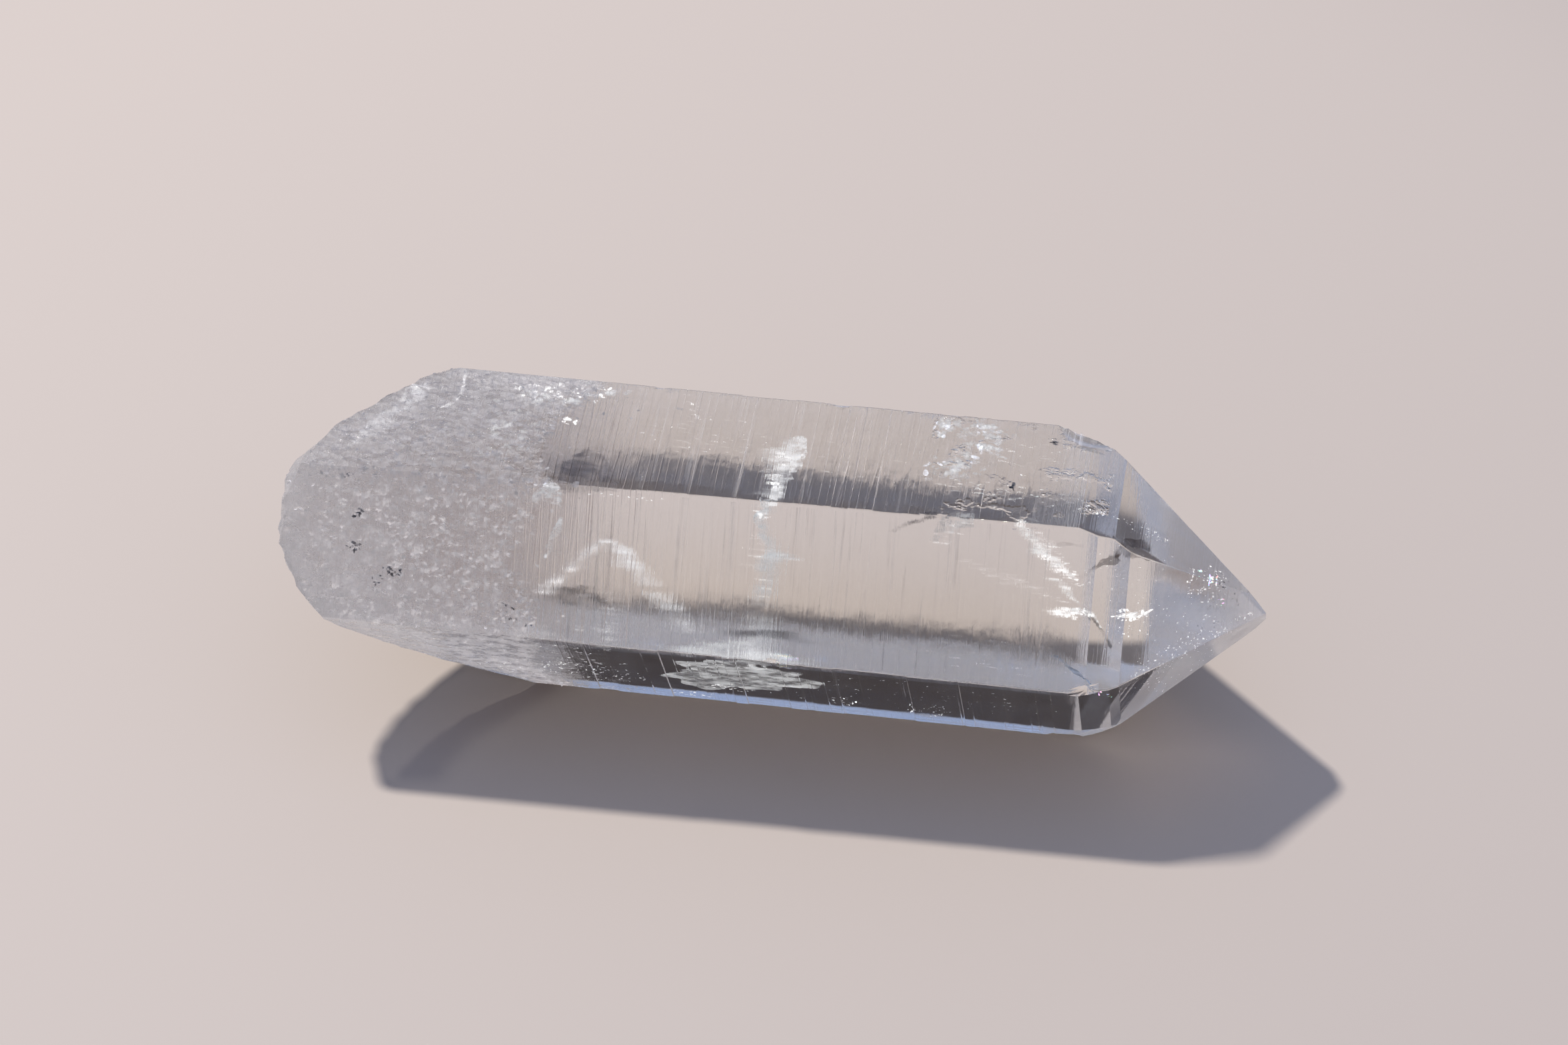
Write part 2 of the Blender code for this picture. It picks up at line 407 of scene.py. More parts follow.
def makePatchMask():
    # ragged patches: noise at the given scale, cut at a level with a soft edge
    numbers = {"Scale": 1.0, "Stretch": 1.0, "Level": 0.5, "Soft": 0.05}
    group, given, put = newGroup("patchMask", numbers, "Mask")
    stretch = addNode(group, "ShaderNodeCombineXYZ", {"X": given["Stretch"], "Y": 1.0, "Z": 1.0})
    place = addStretch(group, given["Place"], stretch.outputs[0])
    noise = addNoise(group, place, given["Scale"], 4.0, 0.6)
    low = addMath(group, "SUBTRACT", given["Level"], given["Soft"])
    high = addMath(group, "ADD", given["Level"], given["Soft"])
    group.links.new(addRange(group, noise, low, high, soft=True), put)
    return group


def makeGrowthStreaks():
    # streaks square to the axis: noise squeezed along x and drawn out across it
    numbers = {"Along": 3.0, "Across": 0.1, "Detail": 4.0, "Roughness": 0.5}
    group, given, put = newGroup("growthStreaks", numbers, "Streaks")
    rate = addNode(group, "ShaderNodeCombineXYZ", {
        "X": given["Along"], "Y": given["Across"], "Z": given["Across"]})
    place = addStretch(group, given["Place"], rate.outputs[0])
    group.links.new(addNoise(group, place, 1.0, given["Detail"], given["Roughness"]), put)
    return group


patchMask = makePatchMask()
growthStreaks = makeGrowthStreaks()


# The camera and the way it looks through the surface


def viewAxes():
    # right, up and forward of the camera: azimuth turns it round +Z, elevation tips it down
    az, el = math.radians(view["azimuth"]), math.radians(view["elevation"])
    forward = np.array([-math.sin(az) * math.cos(el), math.cos(az) * math.cos(el), -math.sin(el)])
    right = np.array([math.cos(az), math.sin(az), 0.0])
    return right, np.cross(right, forward), forward


def standAt(thing, right, up, back, place):
    # turns an object so that its own axes lie along right, up and back, and puts it at the place in metres
    turned = np.eye(4)
    turned[:3, 0], turned[:3, 1], turned[:3, 2], turned[:3, 3] = right, up, back, place
    thing.matrix_world = Matrix(turned.tolist())


def addCamera():
    right, up, forward = viewAxes()
    data = bpy.data.cameras.new("photoCamera")
    data.sensor_width = view["sensor"]
    data.lens = view["focalPixels"] * view["sensor"] / view["imageWide"]
    data.clip_start = 0.01
    camera = bpy.data.objects.new("photoCamera", data)
    bpy.context.scene.collection.objects.link(camera)
    standAt(camera, right, up, -forward, np.array(view["place"]) * mm)
    bpy.context.scene.camera = camera


# what is inside keeps to this share of a ray's way, and this many mm from the broken base
inside = {"mostOfTheWay": 0.97, "underTheBase": 0.15}


def seenInside(pixels, depth):
    # the place that a pixel shows at a depth inside: the ray meets the nearest facing plane, bends by
    # Snell's law, and runs on for that depth, or for most of the way to the far side
    right, up, forward = viewAxes()
    pixels = np.asarray(pixels, float)
    across = (pixels[..., 0] - view["imageWide"] / 2) / view["focalPixels"]
    down = (pixels[..., 1] - view["imageHigh"] / 2) / view["focalPixels"]
    ray = forward + across[..., None] * right - down[..., None] * up
    ray /= np.linalg.norm(ray, axis=-1, keepdims=True)
    eye = np.array(view["place"]) - np.array([0.0, 0.0, crystal["axisHeight"]])
    sides = np.concatenate((np.column_stack((faceTaper, faceNormals)),
                            np.column_stack((np.full(6, pitch), faceNormals))))
    reach = np.concatenate((faceMiddle, pitch * pointEnd))
    size = np.linalg.norm(sides, axis=1)
    sides, reach = sides / size[:, None], reach / size
    facing = ray @ sides.T
    when = (reach - eye @ sides.T) / np.where(np.abs(facing) < 1e-6, 1e-6, facing)
    enter = np.where(facing < 0, when, -1e9)
    first = enter.argmax(-1)
    start = eye + ray * enter.max(-1)[..., None]
    normal = sides[first]
    cosIn = -(ray * normal).sum(-1, keepdims=True)
    bend = 1 / glass["ior"]
    cosOut = np.sqrt(1 - bend**2 * (1 - cosIn**2))
    onward = bend * ray + (bend * cosIn - cosOut) * normal
    leaving = onward @ sides.T
    when = (reach - start @ sides.T) / np.where(np.abs(leaving) < 1e-6, 1e-6, leaving)
    leave = np.where(leaving > 1e-3, when, 1e9).min(-1)
    place = start + onward * np.minimum(depth, inside["mostOfTheWay"] * leave)[..., None]
    # nothing comes out of the broken base
    place[..., 0] = np.maximum(place[..., 0], baseX(place[..., 1], place[..., 2]) + inside["underTheBase"])
    return place


# The glass and its finish

glass = {
    "ior": 1.544,
    "shadowTint": (0.42, 0.405, 0.395, 1.0),
    "hazeColour": (0.80, 0.76, 0.73, 1.0),
    "hazeDensity": 4.0,
    # the frost: the noise and reach of its ragged edge, how soft that is, how rough the frost is, and its
    # clear gaps. Noise is given by scale, detail and roughness, patches by scale, stretch, level and softness
    "frostNoise": (0.9, 5.0, 0.62),
    "frostJag": 1.3,
    "frostEdge": (-0.2, 0.5),
    "frostRoughness": 0.45,
    "clearGaps": (1.8, 0.5, 0.545, 0.02),
    # etched patches on the top face: where they start, and their pattern
    "etchFromX": 8.0,
    "etchAbove": 7.2,
    "etchPatches": (0.7, 0.8, 0.6, 0.04),
    "etchRoughness": 0.22,
    # faint smears everywhere
    "smearPatches": (0.4, 0.5, 0.6, 0.2),
    "smearRoughness": 0.008,
    # growth lines: rates along and across, detail and roughness of the noise, and narrow grooves between
    "lineStreaks": (3.2, 0.13, 6.0, 0.75),
    "linePatches": (0.16, 0.8, 0.5, 0.2),
    "lineShare": (0.7, 0.7),
    "grooveRate": (2.4, 0.09, 0.09),
    "grooveWidth": 0.09,
    "grooveShare": 0.22,
    "striationDepth": 0.00009,
    # how much of the lines is left on the point and on the lower faces, and where they fade
    "pointFade": (15.0, 16.8),
    "lowerFade": (-0.6, 0.4),
    "linesLeft": 0.12,
    # grain of the frost
    "grainNoise": (3.2, 4.0, 0.7),
    "pitScale": 2.4,
    "grainShare": 0.9,
    "etchShare": 0.5,
}


def clearWindows(tree, place):
    # small clear gaps in the frost, the same for the surface and for the flakes under it
    return useGroup(tree, patchMask, place, *glass["clearGaps"])


def frostMask(tree, place):
    # frosted towards the base, behind a ragged line
    ragged = addNoise(tree, place, *glass["frostNoise"])
    shift = addMath(tree, "MULTIPLY_ADD", ragged, glass["frostJag"] * 2, -glass["frostJag"])
    behind = addNode(tree, "ShaderNodeAttribute", attribute_name="frost").outputs["Fac"]
    return addRange(tree, addMath(tree, "ADD", behind, shift), *glass["frostEdge"])


def lineRelief(tree, place, parts):
    # growth lines square to the axis, with grooves between, faded on the point, which is smooth, and on the
    # lower faces, which show as crisp dark and blue bands
    streaks = useGroup(tree, growthStreaks, place, *glass["lineStreaks"])
    narrow = addStretch(tree, place, glass["grooveRate"])
    values = {"Vector": narrow, "Scale": 1.0}
    cells = addNode(tree, "ShaderNodeTexVoronoi", values, feature="DISTANCE_TO_EDGE")
    groove = addRange(tree, cells.outputs["Distance"], 0.0, glass["grooveWidth"], soft=True)
    lines = addMath(tree, "MULTIPLY_ADD", groove, glass["grooveShare"], streaks)
    where = useGroup(tree, patchMask, place, *glass["linePatches"])
    lines = addMath(tree, "MULTIPLY", lines, addMath(tree, "MULTIPLY_ADD", where, *glass["lineShare"]))
    onBody = addRange(tree, parts.outputs["X"], *glass["pointFade"], 1.0, glass["linesLeft"])
    low, high = glass["lowerFade"]
    upper = addRange(tree, parts.outputs["Z"], crystal["axisHeight"] + low, crystal["axisHeight"] + high,
                     glass["linesLeft"])
    return addMath(tree, "MULTIPLY", addMath(tree, "MULTIPLY", lines, onBody), upper)


def quartzGlass():
    material, tree, shader = newMaterial("quartzGlass")
    place = millimetres(tree)
    parts = addNode(tree, "ShaderNodeSeparateXYZ", {0: place})
    frost = frostMask(tree, place)
    frosted = addMath(tree, "MULTIPLY", frost, addMath(tree, "SUBTRACT", 1.0, clearWindows(tree, place)))
    # etched patches on the top face near the point
    onTop = addMath(tree, "GREATER_THAN", parts.outputs["Z"], crystal["axisHeight"] + glass["etchAbove"])
    nearPoint = addMath(tree, "GREATER_THAN", parts.outputs["X"], glass["etchFromX"])
    etch = addMath(tree, "MULTIPLY", useGroup(tree, patchMask, place, *glass["etchPatches"]),
                   addMath(tree, "MULTIPLY", onTop, nearPoint))
    rough = addMath(tree, "MULTIPLY", frosted, glass["frostRoughness"])
    rough = addMath(tree, "MULTIPLY_ADD", etch, glass["etchRoughness"], rough)
    smear = useGroup(tree, patchMask, place, *glass["smearPatches"])
    rough = addMath(tree, "MULTIPLY_ADD", smear, glass["smearRoughness"], rough)
    # the relief: growth lines, and the grain of the frosted part
    grain = addNoise(tree, place, *glass["grainNoise"])
    pits = addNode(tree, "ShaderNodeTexVoronoi", {"Vector": place, "Scale": glass["pitScale"]})
    rougher = addMath(tree, "MULTIPLY", addMath(tree, "ADD", grain, pits.outputs["Distance"]), frost)
    height = addMath(tree, "MULTIPLY_ADD", rougher, glass["grainShare"], lineRelief(tree, place, parts))
    height = addMath(tree, "MULTIPLY_ADD", etch, glass["etchShare"], height)
    bump = addNode(tree, "ShaderNodeBump", {
        "Height": height, "Strength": 1.0, "Distance": glass["striationDepth"]})
    setInputs(tree, shader, {
        "Base Color": (1.0, 1.0, 1.0, 1.0), "Metallic": 0.0, "IOR": glass["ior"], "Transmission Weight": 1.0,
        "Roughness": rough, "Normal": bump.outputs[0]})
    # lamps light what is inside and under the crystal straight through it
    rays = addNode(tree, "ShaderNodeLightPath")
    clear = addNode(tree, "ShaderNodeBsdfTransparent", {"Color": glass["shadowTint"]})
    mix = addNode(tree, "ShaderNodeMixShader", {
        0: rays.outputs["Is Shadow Ray"], 1: shader.outputs[0], 2: clear.outputs[0]})
    out = tree.nodes["Material Output"]
    tree.links.new(mix.outputs[0], out.inputs["Surface"])
    haze = addNode(tree, "ShaderNodeVolumeAbsorption", {
        "Color": glass["hazeColour"], "Density": glass["hazeDensity"]})
    tree.links.new(haze.outputs[0], out.inputs["Volume"])
    return material


def crystalRows():
    # x of each ring past the join: even spacing, both ends of every growth step, and the edges of the point
    stations = [np.arange(crystal["joinX"], tipEnd, crystal["rowSpacing"]), steepStart, pointEdge, [tipEnd]]
    for tables, riser in ((stepTables, crystal["steps"]["riser"]), (lineTables, crystal["lines"]["riser"])):
        for places, _ in tables:
            stations += [places, places + riser]
    rows = np.sort(np.concatenate(stations))
    rows = rows[(rows >= crystal["joinX"]) & (rows <= tipEnd)]
    return rows[np.concatenate(([True], np.diff(rows) > 0.006))]


def crystalColumns():
    # how far round each column is: close together at the edges of a face, even across its middle
    share = np.concatenate(([0.0, 0.007, 0.022], np.linspace(0.05, 0.95, 21), [0.978, 0.993]))
    return (np.arange(6)[:, None] + share).ravel()


tipEnd = crystal["tipX"] - crystal["inset"] / pitch


def crystalBody():
    # sides: (ring, column) gives x and the point of the six-sided section there, with nicked edges
    # cap: the rim's section shrunk to a middle point, lifted to the broken base
    columns = crystalColumns()
    teeth = np.abs(np.sin(math.pi * (columns + 0.03 * np.sin(columns * 17.0)) / brokenBase["scallopPitch"]))
    rim = rimX(columns) + brokenBase["scallop"] * teeth * (0.5 + 0.5 * np.sin(columns * 5.3 + 1.0))
    blend = np.linspace(0.0, 1.0, crystal["baseRows"])[:-1, None] ** crystal["baseCrowding"]
    leaning = rim + blend * (crystal["joinX"] - rim)
    straight = np.repeat(crystalRows()[:, None], len(columns), axis=1)
    x = np.concatenate((leaning, straight))
    turn = np.broadcast_to(columns, x.shape)
    section = pullEdges(x, turn, sidePoint(x, turn))
    sides = strikeChips(np.concatenate((x[..., None], section), axis=-1))
    share = np.linspace(1.0, 0.0, crystal["capRows"])[1:-1, None, None] ** crystal["capCrowding"]
    middle = np.array(brokenBase["middle"])
    spread = middle + share * (sides[0, :, 1:] - middle)
    flat = baseX(spread[..., 0], spread[..., 1])
    cap = np.concatenate((flat[..., None], spread), axis=-1)
    # the first cap rows blend to the chipped rim
    joined = np.clip((1.0 - share[..., 0]) / crystal["rimBlend"], 0.0, 1.0)
    cap[..., 0] = sides[0, :, 0] * (1 - joined) + cap[..., 0] * joined
    pole = np.array([[float(baseX(middle[:1], middle[1:])[0]), *middle]])
    rings = np.concatenate((cap[::-1], sides))
    points = np.concatenate((rings.reshape(-1, 3), pole))
    points[:, 0] = np.maximum(points[:, 0], cadBox[0][0] / mm + 0.01)
    count = len(columns)
    squares = gridFaces(len(rings), count, True)
    around = np.arange(count)
    poleIndex = len(points) - 1
    fan = np.stack((np.full(count, poleIndex), (around + 1) % count, around, around), axis=-1)
    faces = np.concatenate((squares[:, ::-1], fan))
    triangles = np.concatenate((faces[:, [0, 1, 2]], faces[:len(squares)][:, [0, 2, 3]]))
    capCount = len(cap) * count
    smooth = np.concatenate((np.arange(len(squares)) < capCount, np.ones(count, bool),
                             np.arange(len(squares)) < capCount))
    body = makeMesh("crystalBody", inFrame(points), triangles, smooth)
    frost = np.concatenate((np.full(cap.shape[:2], 4.0), frostDepth(x, turn))).ravel()
    layer = body.data.attributes.new("frost", "FLOAT", "POINT")
    layer.data.foreach_set("value", np.append(frost, 4.0).astype(np.float32))
    tidySurface(body)
    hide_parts("quartz_crystal")
    return body


def tidySurface(piece):
    # merges the tip's doubled places and turns every face outwards
    bm = bmesh.new()
    bm.from_mesh(piece.data)
    bmesh.ops.remove_doubles(bm, verts=bm.verts, dist=2e-6)
    bmesh.ops.dissolve_degenerate(bm, edges=bm.edges, dist=1e-7)
    bmesh.ops.recalc_face_normals(bm, faces=bm.faces)
    if bm.calc_volume(signed=True) < 0:
        bmesh.ops.reverse_faces(bm, faces=bm.faces)
    openEdges = sum(not edge.is_manifold for edge in bm.edges)
    print("crystal surface:", len(bm.faces), "faces,", openEdges, "open edges")
    bm.to_mesh(piece.data)
    bm.free()


# Shapes inside the crystal


def evenPath(path, count):
    # a path given by a few points, passed through smoothly: Catmull-Rom curves sampled evenly by length
    path = np.asarray(path, float)
    ends = np.concatenate((2 * path[:1] - path[1:2], path, 2 * path[-1:] - path[-2:-1]))
    t = np.linspace(0.0, 1.0, 12, endpoint=False)[None, :, None]
    a, b, c, d = (ends[i:len(ends) - 3 + i, None] for i in range(4))
    curve = 0.5 * (2 * b + (c - a) * t + (2 * a - 5 * b + 4 * c - d) * t**2 + (3 * b - a - 3 * c + d) * t**3)
    curve = np.concatenate((curve.reshape(-1, path.shape[1]), path[-1:]))
    length = np.concatenate(([0.0], np.cumsum(np.linalg.norm(np.diff(curve[:, :2], axis=0), axis=1))))
    at = np.linspace(0.0, length[-1], count)
    return np.stack([np.interp(at, length, curve[:, i]) for i in range(path.shape[1])], axis=1)


sheet = {  # a crack's grid: pixels from row to row, columns, wander of its edges, ripple and depth in mm
    "rowPixels": 5, "columns": 7, "ragged": 0.8, "jitter": 0.2,
    "ripple": 0.1, "rippleAlong": 0.9, "rippleAcross": 2.4,
    "tiltPixels": 20, "leastDepth": 0.06,
}


def crackSheet(path, tilt, seed):
    # a thin sheet along a path of (pixel x, pixel y, width in pixels, depth in mm): across it the place
    # moves by half the width each way and the depth by tilt for each 20 pixels, and its edges wander
    draw = np.random.RandomState(seed)
    steps = max(8, int(np.abs(np.diff(np.asarray(path)[:, :2], axis=0)).sum() / sheet["rowPixels"]))
    line = evenPath(path, steps)
    heading = np.gradient(line[:, :2], axis=0)
    heading /= np.maximum(np.linalg.norm(heading, axis=1, keepdims=True), 1e-6)
    side = np.stack((-heading[:, 1], heading[:, 0]), axis=1)
    across = np.linspace(-1.0, 1.0, sheet["columns"])
    knots = np.linspace(0, steps - 1, max(4, steps // 3))
    wander = [np.interp(np.arange(steps), knots, draw.uniform(-1, 1, len(knots))) for _ in range(2)]
    wander = np.stack(wander, axis=1)
    wander += draw.uniform(-sheet["jitter"], sheet["jitter"], (steps, 2))
    half = line[:, 2:3] / 2 * (1 + sheet["ragged"] * np.where(across < 0, wander[:, :1], wander[:, 1:]))
    pixels = line[:, None, :2] + side[:, None] * (half * across)[..., None]
    ripple = sheet["ripple"] * np.sin(np.arange(steps) * sheet["rippleAlong"] + seed)[:, None]
    ripple = ripple * np.cos(across * sheet["rippleAcross"])
    depth = line[:, 3:4] + tilt * across * half / sheet["tiltPixels"] + ripple
    depth = np.maximum(depth, sheet["leastDepth"])
    return seenInside(pixels, depth)


def joinSheets(name, sheets):
    # several grids of points made one mesh
    points, faces, start = [], [], 0
    for grid in sheets:
        rows, columns, _ = grid.shape
        points.append(grid.reshape(-1, 3))
        faces.append(gridFaces(rows, columns, False) + start)
        start += rows * columns
    piece = makeMesh(name, inFrame(np.concatenate(points)), np.concatenate(faces))
    piece.data.polygons.foreach_set("use_smooth", np.ones(len(piece.data.polygons), bool))
    return piece


def randomAxes(draw, count, normal=None, spread=1.0):
    # two unit vectors square to each other for each flake: random, or leaning round one normal
    first = draw.normal(size=(count, 3))
    facing = draw.normal(size=(count, 3)) * spread
    if normal is not None:
        facing = facing + np.asarray(normal, float)
    facing /= np.linalg.norm(facing, axis=1, keepdims=True)
    first -= (first * facing).sum(1, keepdims=True) * facing
    first /= np.linalg.norm(first, axis=1, keepdims=True)
    return first, np.cross(facing, first)


def flakes(name, centres, longHalf, wideHalf, axes, draw, corners=6):
    # one mesh of many flat flakes: an ellipse round each centre, with a jittered radius at each corner
    count = len(centres)
    angle = np.arange(corners) / corners * 2 * math.pi + draw.uniform(0, 6, (count, 1))
    radius = draw.uniform(0.6, 1.0, (count, corners))
    a = (np.cos(angle) * radius * longHalf[:, None])[..., None] * axes[0][:, None]
    b = (np.sin(angle) * radius * wideHalf[:, None])[..., None] * axes[1][:, None]
    points = centres[:, None] + a + b
    return makeMesh(name, inFrame(points.reshape(-1, 3)), np.arange(count * corners).reshape(count, corners))


def slantedPixels(middle, across, down, slant):
    # pixels across and down from a middle, in a frame turned by the slant in degrees
    turn = math.radians(slant)
    return np.stack((middle[0] + across * math.cos(turn) - down * math.sin(turn),
                     middle[1] + across * math.sin(turn) + down * math.cos(turn)), axis=1)


def insideSide(x, turn, depth):
    # a place under the side: the surface point drawn towards the axis by the depth
    section = sidePoint(x, turn)
    far = np.linalg.norm(section, axis=-1, keepdims=True)
    return np.concatenate((x[..., None], section * (1 - depth[..., None] / far)), axis=-1)


milk = {  # the milky part near the base: thousands of tiny flakes just under the surface, their brightness mostly a painted glow
    "sideFlakes": 24000, "baseFlakes": 9000,
    "size": (0.05, 0.16), "depth": 0.34,
    "strayShare": 0.05, "strayReach": 5.0,
    "edgeWander": 0.7, "fromRim": 0.25, "leastWide": 0.5, "gapLevel": -0.75,
    "leastDepth": 0.08, "mostDepth": 4.5, "underBase": 0.12, "toneNoise": (1.1, 2.0),
    # pale, dull and top are colours of the painted glow
    "pale": (1.0, 0.96, 0.97, 1.0), "dull": (0.80, 0.76, 0.80, 1.0), "top": (0.66, 0.64, 0.69, 1.0),
    "topEdge": (6.5, 6.9),  # mm above the axis
    "lit": (0.36, 0.35, 0.37, 1.0), "paintedGlow": 0.33, "seed": 21,
}


def milkyFlakes():
    draw = np.random.RandomState(milk["seed"])
    count = milk["sideFlakes"]
    turn = draw.uniform(0, 6, count * 3)
    rim = rimX(turn)
    edge = np.interp(turn, frostLine["turn"], frostLine["x"])
    edge = edge + milk["edgeWander"] * wobble(turn * 3, turn * 7, 1.0, 2.0)
    stray = draw.uniform(size=len(turn)) < milk["strayShare"]
    edge = edge + np.where(stray, milk["strayReach"] * draw.uniform(size=len(turn)) ** 2, 0.0)
    start = rim + milk["fromRim"]
    x = start + (edge - start) * draw.uniform(size=len(turn)) ** 0.9
    keep = (wobble(x * 1.6, turn * 4, 1.3, 5.0) > milk["gapLevel"]) & (edge > rim + milk["leastWide"])
    x, turn = x[keep][:count], turn[keep][:count]
    depth = milk["leastDepth"] + milk["depth"] * draw.exponential(size=len(x))
    sides = insideSide(x, turn, np.minimum(depth, milk["mostDepth"]))
    share = np.sqrt(draw.uniform(0.0, 0.94, milk["baseFlakes"]))
    turn = draw.uniform(0, 6, milk["baseFlakes"])
    rim = sidePoint(rimX(turn), turn)
    spread = np.array(brokenBase["middle"]) * (1 - share[:, None]) + rim * share[:, None]
    x = baseX(spread[:, 0], spread[:, 1]) + milk["underBase"]
    x = x + milk["depth"] * draw.exponential(size=len(share))
    centres = np.concatenate((sides, np.column_stack((x, spread))))
    low, high = milk["size"]
    size = low + (high - low) * draw.uniform(size=len(centres)) ** 2
    piece = flakes("milkyVeil", centres, size * draw.uniform(1.0, 1.8, len(size)), size,
                   randomAxes(draw, len(centres)), draw, 5)
    material, tree, shader = newMaterial("milkyFlake")
    place = millimetres(tree)
    tone = addNoise(tree, place, *milk["toneNoise"])
    # the painted glow is greyer under the top face than under the front one
    height = addNode(tree, "ShaderNodeSeparateXYZ", {0: place}).outputs["Z"]
    low, high = milk["topEdge"]
    onTop = addRange(tree, height, crystal["axisHeight"] + low, crystal["axisHeight"] + high)
    front = addBlend(tree, tone, milk["pale"], milk["dull"])
    # the flakes glow though they are no lamp: painted light in the pale, dull and top colours
    setInputs(tree, shader, {
        "Base Color": milk["lit"], "Roughness": 0.5,
        "Emission Color": addBlend(tree, onTop, front, milk["top"]), "Emission Strength": milk["paintedGlow"],
        "Alpha": addMath(tree, "SUBTRACT", 1.0, clearWindows(tree, place))})
    return piece, material


sheetLook = {  # what all cracks, films and bits share
    "dim": 0.72, "toneScale": 1.7, "waveScale": 2.5, "patchCut": (0.5, 0.12),
    "bump": {"Strength": 0.6, "Distance": 0.0002}, "filmIor": 1.33,
}


def sheetMaterial(name, colour, roughness, alphaLow, alphaHigh, scale, stretch, film, paintedGlow):
    # a thin crack or film: one colour varied by noise, in ragged patches from alphaLow to alphaHigh
    material, tree, shader = newMaterial(name)
    place = millimetres(tree)
    mask = useGroup(tree, patchMask, place, scale, stretch, *sheetLook["patchCut"])
    dim = tuple(sheetLook["dim"] * value for value in colour[:3]) + (1.0,)
    blend = addBlend(tree, addNoise(tree, place, scale * sheetLook["toneScale"], 3.0), dim, colour)
    wave = addNoise(tree, place, scale * sheetLook["waveScale"], 2.0)
    bump = addNode(tree, "ShaderNodeBump", {"Height": wave, **sheetLook["bump"]})
    setInputs(tree, shader, {
        "Base Color": blend, "Roughness": roughness, "Normal": bump.outputs[0],
        "Alpha": addRange(tree, mask, 0.0, 1.0, alphaLow, alphaHigh)})
    if paintedGlow:
        # painted glow standing in for light that has bounced about inside the crack
        setInputs(tree, shader, {"Emission Color": blend, "Emission Strength": paintedGlow})
    if film:
        setInputs(tree, shader, {"Thin Film Thickness": film, "Thin Film IOR": sheetLook["filmIor"]})
    return material


